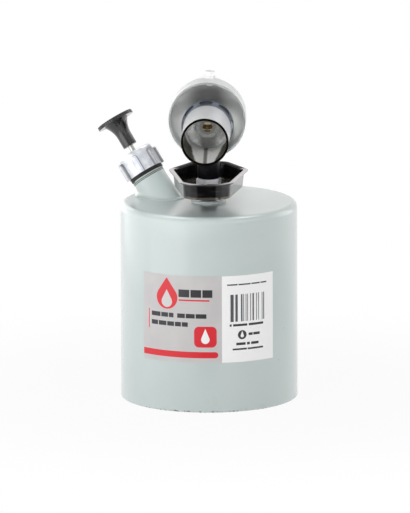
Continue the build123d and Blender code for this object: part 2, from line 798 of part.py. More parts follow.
# Pump cap: crown with lugs, and the spigot that screws into the neck
with BuildPart() as pump_cap:
    cap_r = cap_d / 2
    spigot_r = neck_bore / 2 - fit
    spigot_end = neck_length - cap_spigot_length
    barrel_seat_r = pump_barrel_od / 2 + fit
    with BuildSketch(pump_section) as cap_section:
        outline(
            (guide_d / 2 + fit, cap_top),
            (cap_r, cap_top),
            (cap_r, gasket_top),
            (spigot_r, gasket_top),
            (spigot_r, spigot_end),
            (barrel_seat_r, spigot_end),
            (barrel_seat_r, barrel_top),
            (guide_d / 2 + fit, barrel_top),
        )
        round_corner(cap_section, cap_r, cap_top, cap_edge)
    revolve(axis=pump_axis)
    lug_r = cap_lug_width / 2
    lug_straight = cap_height - cap_lug_top - lug_r
    for lug in range(cap_lug_count):
        angle = math.radians(cap_lug_turn + lug * 360 / cap_lug_count)
        radial = pump_plane.x_dir * math.cos(angle) + pump_plane.y_dir * math.sin(angle)
        lug_plane = Plane(origin=pump_foot + pump_dir * gasket_top + radial * (cap_r - cap_edge),
                          x_dir=pump_dir, z_dir=radial)
        with BuildSketch(lug_plane):
            Rectangle(lug_straight, cap_lug_width, align=(Align.MIN, Align.CENTER))
            with Locations((lug_straight, 0)):
                Circle(lug_r)
        extrude(amount=cap_edge + cap_lug_reach)
pump_cap.part.label = "pump_cap"
export_step(pump_cap.part, "parts/pump_cap.step")

# Guide bush for the pump rod
with BuildPart() as rod_guide:
    with BuildSketch(pump_plane.offset(barrel_top - guide_below)):
        Circle(guide_d / 2)
        Circle(rod_d / 2 + fit, mode=Mode.SUBTRACT)
    extrude(amount=cap_top - barrel_top + guide_below)
rod_guide.part.label = "rod_guide"
export_step(rod_guide.part, "parts/rod_guide.step")

# Pump barrel
with BuildPart() as pump_barrel:
    with BuildSketch(pump_plane.offset(-pump_barrel_below)):
        Circle(pump_barrel_od / 2)
        Circle(pump_barrel_bore / 2, mode=Mode.SUBTRACT)
    extrude(amount=pump_barrel_below + barrel_top)
pump_barrel.part.label = "pump_barrel"
export_step(pump_barrel.part, "parts/pump_barrel.step")

# Foot valve: body in the barrel's end, with port, coned seat and ball chamber
port_r = valve_port_d / 2
ball_r = valve_ball_d / 2
chamber_r = valve_chamber_d / 2
port_end = valve_top - valve_port_length
ball_high = port_end + port_r - ball_r * math.sqrt(2) - seat_gap
ball_rest = ball_high - valve_ball_travel
plug_top = ball_rest - math.sqrt(ball_r**2 - port_r**2) - seat_gap
valve_end = plug_top - valve_end_height
with BuildPart() as foot_valve_body:
    with BuildSketch(pump_section):
        outline(
            (port_r, valve_top),
            (pump_barrel_bore / 2 - fit, valve_top),
            (pump_barrel_bore / 2 - fit, -pump_barrel_below),
            (pump_barrel_od / 2, -pump_barrel_below),
            (pump_barrel_od / 2, -pump_barrel_below - valve_flange_height),
            (valve_nose_d / 2, -pump_barrel_below - valve_flange_height),
            (valve_nose_d / 2, valve_end),
            (chamber_r, valve_end),
            (chamber_r, port_end - chamber_r + port_r),
            (port_r, port_end),
        )
    revolve(axis=pump_axis)
foot_valve_body.part.label = "foot_valve_body"
export_step(foot_valve_body.part, "parts/foot_valve_body.step")

with BuildPart() as foot_valve_ball:
    with BuildSketch(pump_section):
        with Locations((0, ball_rest)):
            Circle(ball_r)
            Rectangle(valve_ball_d, valve_ball_d, align=(Align.MAX, Align.CENTER), mode=Mode.SUBTRACT)
    revolve(axis=pump_axis)
foot_valve_ball.part.label = "foot_valve_ball"
export_step(foot_valve_ball.part, "parts/foot_valve_ball.step")

with BuildPart() as foot_valve_plug:
    with BuildSketch(pump_plane.offset(valve_end)):
        Circle(chamber_r - fit)
        Circle(port_r, mode=Mode.SUBTRACT)
    extrude(amount=valve_end_height)
foot_valve_plug.part.label = "foot_valve_plug"
export_step(foot_valve_plug.part, "parts/foot_valve_plug.step")

# Pump rod
with BuildPart() as pump_rod:
    with BuildSketch(pump_plane.offset(rod_bottom)):
        Circle(rod_d / 2)
    extrude(amount=knob_bottom + knob_socket - rod_bottom)
pump_rod.part.label = "pump_rod"
export_step(pump_rod.part, "parts/pump_rod.step")

# Pump knob: stem, hollow flare and notched disc
with BuildPart() as pump_knob:
    stem_r = knob_stem_d / 2
    flare_r = knob_flare_d / 2
    disc_r = knob_disc_d / 2
    disc_bottom = knob_top - knob_disc_height
    flare_bottom = knob_bottom + knob_stem_height
    with BuildSketch(pump_section) as knob_section:
        with BuildLine():
            Polyline((0, knob_top), (0, knob_bottom), (stem_r, knob_bottom), (stem_r, flare_bottom))
            TangentArc((stem_r, flare_bottom), (flare_r, disc_bottom), tangent=(0, 1))
            Polyline((flare_r, disc_bottom), (disc_r, disc_bottom), (disc_r, knob_top), (0, knob_top))
        make_face()
        round_corner(knob_section, stem_r, knob_bottom, knob_edge)
        round_corner(knob_section, disc_r, knob_top, knob_edge)
    revolve(axis=pump_axis)
    with BuildSketch(pump_plane.offset(disc_bottom)):
        with PolarLocations(disc_r, knob_notch_count):
            Circle(knob_notch_radius)
    extrude(amount=knob_disc_height, mode=Mode.SUBTRACT)
    with BuildSketch(pump_plane.offset(knob_bottom)):
        Circle(rod_d / 2 + fit)
    extrude(amount=knob_socket, mode=Mode.SUBTRACT)
pump_knob.part.label = "pump_knob"
export_step(pump_knob.part, "parts/pump_knob.step")

# Piston: leather cup between two washers, held by a nut
rod_hole_r = rod_d / 2 + fit
with BuildPart() as piston_cup:
    cup_r = cup_d / 2
    with BuildSketch(pump_section) as cup_section:
        outline(
            (rod_hole_r, cup_top),
            (cup_r, cup_top),
            (cup_r, cup_bottom),
            (cup_r - cup_wall, cup_bottom),
            (cup_r - cup_wall, cup_top - cup_wall),
            (rod_hole_r, cup_top - cup_wall),
        )
        round_corner(cup_section, cup_r, cup_top, cup_wall)
    revolve(axis=pump_axis)
piston_cup.part.label = "piston_cup"
export_step(piston_cup.part, "parts/piston_cup.step")

with BuildPart() as piston_washers:
    for washer_bottom in (lower_washer_bottom, cup_top):
        with BuildSketch(pump_plane.offset(washer_bottom)):
            Circle(cup_r * washer_share)
            Circle(rod_hole_r, mode=Mode.SUBTRACT)
        extrude(amount=washer_height)
piston_washers.part.label = "piston_washers"
export_step(piston_washers.part, "parts/piston_washers.step")

with BuildPart() as piston_nut:
    hexagon_block(pump_plane.offset(rod_bottom), piston_nut_width, piston_nut_height)
    bore(pump_plane.offset(rod_bottom), rod_hole_r, piston_nut_height)
piston_nut.part.label = "piston_nut"
export_step(piston_nut.part, "parts/piston_nut.step")

# Handle bracket: a bent steel strip whose feet follow the tank's wall
with BuildPart() as handle_bracket:
    foot_y = math.sqrt(tank_r**2 - (strip_width / 2)**2) + strip_thickness / 2
    with BuildSketch(Plane.YZ):
        with BuildLine() as strip_path:
            FilletPolyline(
                (foot_y, strip_top_z + strip_foot),
                (foot_y, strip_top_z),
                (handle_y, strip_top_z),
                (handle_y, strip_bottom_z),
                (foot_y, strip_bottom_z),
                (foot_y, strip_bottom_z - strip_foot),
                radius=strip_bend,
            )
        trace(line_width=strip_thickness)
    extrude(amount=strip_width / 2, both=True)
    with BuildSketch(Plane.XY):
        Circle(tank_r)
    extrude(amount=tank_height, mode=Mode.SUBTRACT)
    with BuildSketch(screw_plane.offset(-strip_thickness)):
        with GridLocations(screw_spacing, screw_spacing, 1, 2):
            Circle(screw_d / 2 + fit)
    extrude(amount=strip_thickness * 2, mode=Mode.SUBTRACT)
handle_bracket.part.label = "handle_bracket"
export_step(handle_bracket.part, "parts/handle_bracket.step")

# Grip: a swelling oval bar, slotted for the strip, bored for the screws
with BuildPart() as grip_whole:
    quarter = grip_length * grip_quarter_place_share
    for place, share in (
        (-grip_length / 2, grip_end_share),
        (-quarter, grip_quarter_share),
        (0, 1),
        (quarter, grip_quarter_share),
        (grip_length / 2, grip_end_share),
    ):
        with BuildSketch(Plane(origin=(0, handle_y, handle_mid_z + place))):
            Ellipse(grip_half_width * share, grip_half_depth * share)
    loft()
    grip_ends = grip_whole.faces().sort_by(Axis.Z)
    fillet(grip_ends[0].edges() + grip_ends[-1].edges(), grip_edge)
    with BuildSketch(Plane(origin=(0, handle_y, handle_mid_z - grip_length / 2))):
        Rectangle(strip_width + fit * 2, strip_thickness)
    extrude(amount=grip_length, mode=Mode.SUBTRACT)
    with BuildSketch(screw_plane.offset(-grip_half_depth)):
        with GridLocations(screw_spacing, screw_spacing, 1, 2):
            Circle(screw_d / 2 + fit)
    extrude(amount=grip_half_depth * 2, mode=Mode.SUBTRACT)
    with BuildSketch(screw_plane.offset(screw_clamp)):
        with GridLocations(screw_spacing, screw_spacing, 1, 2):
            Circle(screw_head_d / 2 + fit)
    extrude(amount=grip_half_depth, mode=Mode.SUBTRACT)
    with BuildSketch(screw_plane.offset(-screw_clamp)):
        with GridLocations(screw_spacing, screw_spacing, 1, 2):
            hexagon(screw_nut_width + fit * 2)
    extrude(amount=-grip_half_depth, mode=Mode.SUBTRACT)

with BuildPart() as grip_inner:
    add(grip_whole.part)
    split(bisect_by=screw_plane, keep=Keep.BOTTOM)
grip_inner.part.label = "grip_inner"
export_step(grip_inner.part, "parts/grip_inner.step")

with BuildPart() as grip_outer:
    add(grip_whole.part)
    split(bisect_by=screw_plane, keep=Keep.TOP)
grip_outer.part.label = "grip_outer"
export_step(grip_outer.part, "parts/grip_outer.step")

# Grip screws with slotted round heads, and their nuts
with BuildPart() as handle_screws:
    with BuildSketch(screw_plane.offset(-screw_clamp - screw_nut_height)):
        with GridLocations(screw_spacing, screw_spacing, 1, 2):
            Circle(screw_d / 2)
    extrude(amount=screw_clamp * 2 + screw_nut_height)
    with BuildSketch(screw_plane.offset(screw_clamp)):
        with GridLocations(screw_spacing, screw_spacing, 1, 2):
            Circle(screw_head_d / 2)
    extrude(amount=screw_head_height)
    fillet(handle_screws.edges().group_by(Axis.Y)[-1], screw_head_height / 2)
    with BuildSketch(screw_plane.offset(screw_clamp + screw_head_height)):
        with GridLocations(screw_spacing, screw_spacing, 1, 2):
            Rectangle(screw_head_d, screw_slot)
    extrude(amount=-screw_head_height / 2, mode=Mode.SUBTRACT)
handle_screws.part.label = "handle_screws"
export_step(handle_screws.part, "parts/handle_screws.step")

with BuildPart() as handle_nuts:
    with BuildSketch(screw_plane.offset(-screw_clamp - screw_nut_height)):
        with GridLocations(screw_spacing, screw_spacing, 1, 2):
            hexagon(screw_nut_width)
            Circle(screw_d / 2 + fit, mode=Mode.SUBTRACT)
    extrude(amount=screw_nut_height)
handle_nuts.part.label = "handle_nuts"
export_step(handle_nuts.part, "parts/handle_nuts.step")
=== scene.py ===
import json
import math

import bpy
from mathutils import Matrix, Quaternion, Vector


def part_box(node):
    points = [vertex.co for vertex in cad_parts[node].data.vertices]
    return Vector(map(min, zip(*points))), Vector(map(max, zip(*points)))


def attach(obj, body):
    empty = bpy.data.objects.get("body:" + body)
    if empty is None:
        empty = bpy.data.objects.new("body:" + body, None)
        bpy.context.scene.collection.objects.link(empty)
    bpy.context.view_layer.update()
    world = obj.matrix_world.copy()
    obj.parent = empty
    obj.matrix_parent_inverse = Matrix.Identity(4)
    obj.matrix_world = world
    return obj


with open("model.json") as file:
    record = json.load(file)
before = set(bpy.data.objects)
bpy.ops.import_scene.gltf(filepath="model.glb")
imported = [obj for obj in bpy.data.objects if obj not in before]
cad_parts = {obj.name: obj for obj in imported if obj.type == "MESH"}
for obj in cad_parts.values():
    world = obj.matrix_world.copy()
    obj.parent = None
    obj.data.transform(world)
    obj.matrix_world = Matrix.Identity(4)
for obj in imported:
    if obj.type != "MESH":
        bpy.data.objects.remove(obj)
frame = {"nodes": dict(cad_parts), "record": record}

bpy.ops.object.select_all(action="DESELECT")
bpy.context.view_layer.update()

# Sizes in metres, places read from the frame
MM = 0.001
tank_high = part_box("tank_shell")[1]
tank_r = tank_high.x
tank_top = tank_high.z

# The flame tube, and the flared and slotted collar at its rear
tube_low, tube_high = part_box("flame_tube")
tube_mouth = tube_low.y
tube_rear = tube_high.y
tube_r = 17.5 * MM
tube_wall = 1.6 * MM
burner_z = (tube_low.z + tube_high.z) / 2
flare_start = tube_rear - 17 * MM
flare_end = tube_rear - 9 * MM
flare_rise = 1.7 * MM
casting_nose_y = -14 * MM

hood_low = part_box("wind_hood")[0]
hood_front = hood_low.y
hood_top = burner_z + 34.6 * MM
hood_axis_z = (hood_low.z + hood_top) / 2

pan_low, pan_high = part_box("priming_pan")
pan_front = pan_low.y
pan_foot = pan_low.z
pan_rim = pan_high.z
pan_nut_front = Vector((0, -8 * MM, 160 * MM))

# The filler neck, and the pump along its axis
neck_azimuth = math.radians(155)
neck_tilt = math.radians(34.5)
neck_offset = 40 * MM
neck_r = 12.3 * MM
pump_dir = Vector((
    math.sin(neck_tilt) * math.cos(neck_azimuth),
    math.sin(neck_tilt) * math.sin(neck_azimuth),
    math.cos(neck_tilt),
))
pump_foot = Vector((neck_offset * math.cos(neck_azimuth), neck_offset * math.sin(neck_azimuth), tank_top))
neck_side = Vector((-math.sin(neck_azimuth), math.cos(neck_azimuth), 0))
cap_r = 13.4 * MM
cap_lugs = 6
cap_lug_turn = math.radians(18)
lug_half = 2.5 * MM
lug_round_at = 32.0 * MM

# Label, threads and welds
foil_gap = 0.03 * MM
foil_thickness = 0.12 * MM
thread_pitch = 1.0 * MM
thread_crest = 0.3 * MM
neck_thread_turns = 2.6
neck_thread_start = 15.4 * MM
spindle_r = 3.0 * MM
spindle_thread_turns = 5.0
spindle_thread_start = 38.9 * MM
strip_low, strip_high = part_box("handle_bracket")
weld_r = 1.2 * MM
weld_length = 10 * MM
weld_from_end = 6.5 * MM
weld_proud = 0.5 * MM
weld_round = 0.5 * MM
weld_lumps = 1.6 * MM
weld_unevenness = 0.5 * MM


# Materials: wires between nodes
class Wire:
    """An output of a material's node. Sums, products and powers of wires add Math nodes."""

    def __init__(self, tree, socket=None):
        self.tree = tree
        self.socket = socket

    def node(self, kind, settings=None, sockets=None, output=0):
        """Adds a node of this kind: its settings first, then a value or a wire for each socket named."""
        made = self.tree.nodes.new(kind)
        for name, value in (settings or {}).items():
            setattr(made, name, value)
        for name, value in (sockets or {}).items():
            if isinstance(value, Wire):
                self.tree.links.new(made.inputs[name], value.socket)
            else:
                made.inputs[name].default_value = value
        return Wire(self.tree, made.outputs[output] if made.outputs else None)

    def math(self, operation, *values):
        return self.node("ShaderNodeMath", {"operation": operation}, dict(enumerate(values)))

    def __add__(self, other):
        return self.math("ADD", self, other)

    def __radd__(self, other):
        return self.math("ADD", other, self)

    def __sub__(self, other):
        return self.math("SUBTRACT", self, other)

    def __rsub__(self, other):
        return self.math("SUBTRACT", other, self)

    def __mul__(self, other):
        return self.math("MULTIPLY", self, other)

    def __truediv__(self, other):
        return self.math("DIVIDE", self, other)

    def __pow__(self, other):
        return self.math("POWER", self, other)

    def __neg__(self):
        return self.math("MULTIPLY", self, -1.0)

    def __abs__(self):
        return self.math("ABSOLUTE", self)

    def __gt__(self, other):
        return self.math("GREATER_THAN", self, other)


def start(name):
    """A new material, and a wire with the place on the object in metres."""
    material = bpy.data.materials.new(name)
    material.use_nodes = True
    material.node_tree.nodes.clear()
    return material, Wire(material.node_tree).node("ShaderNodeTexCoord", output="Object")


def complete(material, place, sockets, height, depth):
    """Joins the sockets to the shader; height, from 0 to 1, is a relief of that depth."""
    normal = place.node("ShaderNodeBump", {}, {"Strength": 1.0, "Distance": depth, "Height": height})
    shader = place.node("ShaderNodeBsdfPrincipled", {}, {**sockets, "Normal": normal})
    place.node("ShaderNodeOutputMaterial", {}, {"Surface": shader})
    return material


def axes(vector):
    """The three coordinates of a place or of a direction."""
    return [vector.node("ShaderNodeSeparateXYZ", {}, {0: vector}, output=i) for i in range(3)]


def facing(place):
    """The three coordinates of the direction that a surface faces."""
    return axes(place.node("ShaderNodeNewGeometry", output="Normal"))


def blend(mask, first, second):
    """The first colour where the mask is 0, the second where it is 1."""
    return mask.node("ShaderNodeMix", {"data_type": "RGBA"}, {0: mask, 6: first, 7: second}, output=2)


def ramp(value, low, high):
    """0 at low and 1 at high, smooth between them and level outside."""
    settings = {"interpolation_type": "SMOOTHSTEP"}
    return value.node("ShaderNodeMapRange", settings, {"Value": value, "From Min": low, "From Max": high})


def largest(first, *others):
    """The largest of several values, so of several masks all that any of them covers."""
    for other in others:
        first = first.math("MAXIMUM", first, other)
    return first


def hypotenuse(first, second):
    return (first * first + second * second) ** 0.5


def wrapped(angle, half):
    """An angle brought between -half and half by whole turns of twice half."""
    return angle.math("WRAP", angle, half, -half)


def noise(place, size, detail=2.0, roughness=0.5):
    """Cloudy values about 0.5, with clouds of about this size."""
    sockets = {"Vector": place, "Scale": 1 / size, "Detail": detail, "Roughness": roughness}
    return place.node("ShaderNodeTexNoise", {}, sockets)


def stretched(place, x, y, z):
    """The place with each axis multiplied, which draws a pattern out along the axes left small."""
    return place.node("ShaderNodeVectorMath", {"operation": "MULTIPLY"}, {0: place, 1: (x, y, z)})


def specks(place, size, share):
    """1 in small round specks, each in a cell of this size; share is a speck's part of its cell."""
    distance = place.node("ShaderNodeTexVoronoi", {}, {"Vector": place, "Scale": 1 / size})
    return ramp(distance, share, share * 0.6)


def colour(red, green, blue):
    """A colour from its screen values, 0 to 255."""
    screen = [value / 255 for value in (red, green, blue)]
    return [v / 12.92 if v < 0.04045 else ((v + 0.055) / 1.055) ** 2.4 for v in screen] + [1.0]


def around_burner(place):
    """Distance from the flame tube's axis, and the angle round it in turns, from the top."""
    x, z = axes(place)[::2]
    rise = z - burner_z
    return hypotenuse(x, rise), x.math("ARCTAN2", x, rise) / math.tau


# Finishes
def tank_enamel():
    """Pale grey-green enamel with a slight peel, a little grit, and chips along the foot rim."""
    material, place = start("tank_enamel")
    y, z = axes(place)[1:]
    peel = noise(place, 2.2 * MM, 1.0)
    waves = noise(place, 14 * MM, 2.0)
    cloud = noise(place, 55 * MM, 3.0)
    paint = blend(ramp(cloud, 0.3, 0.7), colour(195, 207, 205), colour(200, 211, 209))

    warm = ramp(noise(place, 19 * MM, 3.0), 0.66, 0.78)
    paint = blend(warm * 0.22, paint, colour(196, 186, 178))
    grit = specks(place, 9 * MM, 0.045) * ramp(noise(place, 30 * MM, 1.0), 0.52, 0.6)
    paint = blend(grit * 0.75, paint, colour(92, 96, 92))

    ragged = noise(place, 2.6 * MM, 4.0, 0.7)
    foot = ramp(z, 2.2 * MM, 0.2 * MM)
    front = ramp(y, -0.6 * tank_r, -0.9 * tank_r)
    chip = ramp(ragged + foot * 0.1 + front * 0.07, 0.68, 0.72) * foot
    paint = blend(chip, paint, colour(70, 62, 52))
    rubbed = ramp(noise(stretched(place, 1, 1, 0.3), 4 * MM, 5.0, 0.7), 0.5, 0.72)
    scuff = ramp(z, 6 * MM, 0) * rubbed
    paint = blend(scuff * 0.3, paint, colour(150, 152, 144))

    height = peel * 0.5 + waves * 0.5 - chip * 2.5
    sockets = {
        "Base Color": paint,
        "Roughness": 0.28 + cloud * 0.1 + chip * 0.3,
        "Coat Weight": 0.8,
        "Coat Roughness": 0.15,
        "IOR": 1.5,
    }
    return complete(material, place, sockets, height, 0.05 * MM)


def tube_outside(depth, cloud, spots):
    """Bright plating, smeared towards the mouth."""
    plate = blend(ramp(cloud, 0.3, 0.7), colour(240, 241, 244), colour(248, 248, 250))
    smear = ramp(spots + cloud, 1.16, 1.3) * ramp(depth, 34 * MM, 20 * MM)
    return blend(smear * 0.3, plate, colour(150, 146, 138))


def tube_dark_side_reflection(depth, from_bottom, spots):
    """1 where the bore's wall is painted darker as a reflection, along both of its sides."""
    edge = 0.07 + depth * 1.28 + (spots - 0.5) * 0.07
    dark_side_reflection = ramp(from_bottom - edge, -0.008, 0.01) * ramp(from_bottom, 0.3, 0.24)
    return dark_side_reflection * ramp(depth, 46 * MM, 38 * MM)


def tube_bore(place, depth, turn, spots, rings, dark_side_reflection):
    """The brushed wall inside: grainy and scratched, with painted dark reflections along both sides and a
    painted dark streak of reflection along its bottom.
    """
    brushed = blend(ramp(rings, 0.35, 0.65), colour(236, 237, 236), colour(250, 250, 248))
    brushed = blend(ramp(spots, 0.54, 0.68) * 0.4, brushed, colour(166, 165, 160))
    grains = noise(place, 0.9 * MM, 2.0, 0.7)
    brushed = blend(ramp(grains, 0.5, 0.7) * 0.32, brushed, colour(128, 124, 118))
    # Painted dark reflection along both sides of the bore
    brushed = blend(dark_side_reflection * (1.0 - ramp(grains, 0.55, 0.7) * 0.25), brushed, colour(44, 42, 32))
    # Painted dark reflection as a streak along the bottom
    streak = ramp(abs(wrapped(turn + 0.5 - depth * 0.19, 0.5)), 0.019, 0.007)
    brushed = blend(streak * 0.9, brushed, colour(76, 70, 66))
    scratch = ramp(noise(stretched(place, 1, 0.12, 1), 1.6 * MM, 2.0), 0.68, 0.72)
    return blend(scratch * 0.6, brushed, colour(62, 60, 54))


def tube_back_plate(radius, turn, cloud, spots):
    """The mottled plate that closes the tube's rear, with the jet's shadow below the jet."""
    mottled = blend(ramp(cloud + spots, 0.85, 1.15), colour(168, 169, 168), colour(216, 217, 215))
    shadow = ramp(abs(wrapped(turn + 0.508, 0.5)) * radius, 1.5 * MM, 0.6 * MM)
    return blend(shadow * 0.7, mottled, colour(92, 92, 90))


def bright_chrome():
    """The flame tube: bright outside, brushed inside with painted dark reflections, with a blued collar,
    painted shade in its slots and a sooty mouth with painted glints.
    """
    material, place = start("bright_chrome")
    radius, turn = around_burner(place)
    y = axes(place)[1]
    depth = y - tube_mouth
    from_bottom = 0.5 - abs(turn)
    limits = {"Value": y, "From Min": flare_start, "From Max": flare_end, "To Max": flare_rise}
    level = radius - y.node("ShaderNodeMapRange", {}, limits)
    inside = ramp(level, tube_r - 0.5 * tube_wall, tube_r - 0.7 * tube_wall)
    cloud = noise(place, 9 * MM, 4.0, 0.6)
    spots = noise(place, 2.2 * MM, 4.0, 0.7)
    rings = noise(stretched(place, 0.06, 1, 0.06), 0.5 * MM, 3.0, 0.6)

    dark_side_reflection = tube_dark_side_reflection(depth, from_bottom, spots)
    faces_forward = ramp(-facing(place)[1], 0.5, 0.8)
    bore = tube_bore(place, depth, turn, spots, rings, dark_side_reflection)
    bore = blend(faces_forward * inside, bore, tube_back_plate(radius, turn, cloud, spots))
    metal = blend(inside, tube_outside(depth, cloud, spots), bore)

    # Blued collar, with painted shade in its slots
    blued = blend(ramp(cloud, 0.4, 0.6), colour(48, 56, 70), colour(112, 122, 138))
    band = ramp(y, flare_start - 1.5 * MM, flare_start + 1.0 * MM)
    band = band * ramp(y, tube_rear - 0.5 * MM, tube_rear - 1.2 * MM)
    metal = blend(band * (1 - inside) * 0.92, metal, blued)
    slot = ramp(level, tube_r - 0.1 * MM, tube_r - 0.3 * MM) * ramp(y, flare_start, flare_start + 1.0 * MM)
    slot = slot * ramp(radius, tube_r - tube_wall - 0.6 * MM, tube_r - tube_wall)
    slot = slot * ramp(from_bottom, 0.26, 0.3)
    metal = blend(slot * 0.95, metal, colour(26, 30, 42))

    # Mouth: black soot, with brown painted glints in spots
    lip = ramp(depth, 1.3 * MM, 0.8 * MM)
    glint = ramp(noise(place, 1.6 * MM, 3.0), 0.62, 0.72)
    metal = blend(lip, metal, blend(glint, colour(10, 9, 7), colour(86, 72, 44)))

    shine = 0.45 - inside * 0.3
    sockets = {
        "Base Color": metal,
        "Metallic": shine + lip * (1 - shine),
        "Roughness": 0.22 + inside * 0.1 + lip * 0.2 + inside * dark_side_reflection * 0.2,
    }
    return complete(material, place, sockets, rings, 0.02 * MM)


def hood_enamel():
    """Grey enamel: plain outside, painted lighter low and darker high inside the bowl, with painted shade
    at the bowl's top by the collar, a painted lighter ring inside the rim and a worn front edge.
    """
    material, place = start("hood_enamel")
    radius, turn = around_burner(place)
    x, y, z = axes(place)
    out_x, out_y, out_z = facing(place)
    rise = z - burner_z
    nearly_none = 1e-8
    outward = (out_x * x + out_z * rise) / (x * x + rise * rise + nearly_none) ** 0.5
    bowl = ramp(out_y * -0.6 - outward, 0.0, 0.25)
    cloud = noise(place, 24 * MM, 3.0)

    # Outside, and the bowl inside with painted light: paler low, darker high, and painted shade at its top
    # by the collar
    paint = blend(ramp(cloud, 0.3, 0.7), colour(214, 216, 215), colour(222, 224, 223))
    high = ramp(z, hood_axis_z - 16 * MM, hood_axis_z + 18 * MM)
    enamel = blend(high, colour(232, 233, 232), colour(206, 207, 206))
    painted_top_shade = ramp(radius, 33.5 * MM, 21.5 * MM) * ramp(abs(turn), 0.19, 0.03)
    enamel = blend(painted_top_shade * 0.9, enamel, colour(58, 59, 58))
    paint = blend(bowl, paint, enamel)

    # Rim: a painted lighter ring inside it, a darker front edge, and wear
    rim_painted_light = ramp(y, hood_front + 6 * MM, hood_front + 1.5 * MM) * bowl
    paint = blend(rim_painted_light * 0.7, paint, colour(222, 223, 222))
    front_edge = ramp(y, hood_front + 0.8 * MM, hood_front + 0.4 * MM)
    paint = blend(front_edge, paint, colour(132, 134, 133))
    worn = ramp(y, hood_front + 0.7 * MM, hood_front) * ramp(noise(place, 3 * MM, 4.0, 0.7), 0.58, 0.7)
    paint = blend(worn * 0.7, paint, colour(120, 118, 114))

    stains = ramp(noise(place, 9 * MM, 4.0, 0.6), 0.56, 0.74) * bowl
    paint = blend(stains * 0.25, paint, colour(120, 118, 112))
    height = noise(place, 1.6 * MM, 1.0) * 0.6 + cloud * 0.4
    sockets = {"Base Color": paint, "Roughness": 0.45 + cloud * 0.1}
    return complete(material, place, sockets, height, 0.04 * MM)


def black_chrome():
    """The pan: dark plating with painted reflections, paler along its sides and lip, with a paler band
    along its foot, rougher where sooty near the foot, and painted shade underneath.
    """
    material, place = start("black_chrome")
    x, y, z = axes(place)
    out_x, out_y, out_z = facing(place)
    cloud = noise(place, 8 * MM, 3.0)
    plate = blend(ramp(cloud, 0.35, 0.65), colour(28, 28, 31), colour(44, 42, 44))

    # Walls: painted reflections, dark down the front's middle and paler on the sides, the left paler than
    # the right
    front_dark_reflection = ramp(abs(x), 15 * MM, 9 * MM) * ramp(out_y, -0.5, -0.8)
    plate = blend(front_dark_reflection * 0.8, plate, colour(6, 6, 9))
    lines = ramp(noise(stretched(place, 0.12, 0.12, 1), 1.3 * MM, 3.0, 0.6), 0.5, 0.68)
    plate = blend(lines * ramp(out_y, -0.3, -0.6) * 0.3, plate, colour(92, 92, 95))
    # Painted reflection on the side facets, paler on the left
    side = ramp(out_x * x, 13 * MM, 19 * MM)
    side_reflection = blend(ramp(x, -5 * MM, 5 * MM), colour(158, 156, 155), colour(116, 115, 114))
    plate = blend(side, plate, side_reflection)

    # Lip: painted reflections, pale along the sides with a paler flat top, dark at the front edge and
    # darkest at the rear
    front = ramp(y, pan_front + 16 * MM, pan_front + 5 * MM)
    rear = ramp(y, 1 * MM, 7 * MM)
    lip = ramp(z, pan_rim - 1.4 * MM, pan_rim - 0.5 * MM)
    edge = blend(front, colour(158, 150, 150), colour(62, 60, 61))
    flat = blend(front, colour(176, 169, 170), colour(140, 136, 136))
    lip_reflection = blend(rear, blend(ramp(out_z, 0.5, 0.8), edge, flat), colour(30, 29, 30))
    plate = blend(lip * 0.9, plate, lip_reflection)

    # Foot and underside, with painted shade underneath
    # A paler tan-grey band along the foot
    foot_band = ramp(z, pan_foot + 2.3 * MM, pan_foot + 1.0 * MM) * ramp(noise(place, 3 * MM, 4.0), 0.32, 0.52)
    plate = blend(foot_band * 0.8, plate, colour(134, 126, 114))
    soot = ramp(noise(place, 5 * MM, 5.0, 0.7), 0.5, 0.7) * ramp(z, pan_foot + 3 * MM, pan_foot + 1 * MM)
    # Painted shade on the underside
    under = ramp(out_z, -0.5, -0.8)
    plate = blend(under, plate, colour(12, 13, 14))

    dull = lip * rear + under
    brushing = noise(stretched(place, 1, 1, 0.2), 0.8 * MM, 2.0)
    height = noise(place, 4 * MM, 2.0) * 0.7 + brushing * 0.3
    sockets = {
        "Base Color": plate,
        "Metallic": 0.85 - dull * 0.75,
        "Roughness": 0.2 + soot * 0.2 + cloud * 0.06 + dull * 0.55,
        "Coat Weight": 0.5 - dull * 0.5,
        "Coat Roughness": 0.12,
    }
    return complete(material, place, sockets, height, 0.03 * MM)


def metal_finish(name, dark, light, roughness, grain=0.9 * MM, stains=None, metallic=1.0):
    """A metal with fine grain, cloudy tone and, where named, stains of another colour."""
    material, place = start(name)
    cloud = noise(place, 7 * MM, 4.0, 0.6)
    fine = noise(place, grain, 3.0, 0.6)
    metal = blend(ramp(cloud, 0.32, 0.68), colour(*dark), colour(*light))
    dirt = ramp(noise(place, 4 * MM, 5.0, 0.7), 0.54, 0.7)
    if stains:
        metal = blend(dirt * 0.55, metal, colour(*stains))
    sockets = {"Base Color": metal, "Metallic": metallic, "Roughness": roughness + fine * 0.1 + dirt * 0.12}
    return complete(material, place, sockets, fine, 0.02 * MM)


def blackened_steel():
    return metal_finish("blackened_steel", (20, 20, 24), (34, 33, 34), 0.3, stains=(52, 44, 38))


def sooty_steel():
    """The nut inside the flame tube, as mottled as the plate behind it."""
    return metal_finish("sooty_steel", (162, 163, 162), (204, 205, 203), 0.34,
                        grain=0.6 * MM, stains=(96, 95, 90), metallic=0.85)


def bright_nut():
    """The nut on the pan's floor."""
    return metal_finish("bright_nut", (222, 225, 233), (246, 247, 251), 0.18, grain=0.6 * MM, metallic=0.3)


def pale_nut():
    """The screw on the hood."""
    return metal_finish("pale_nut", (216, 217, 218), (232, 232, 233), 0.4, grain=0.6 * MM, metallic=0.1)


def zinc_plating():
    return metal_finish("zinc_plating", (186, 186, 182), (208, 208, 204), 0.22, stains=(150, 142, 122))


def turned_brass():
    return metal_finish("turned_brass", (186, 150, 86), (206, 174, 108), 0.26, stains=(104, 78, 44))


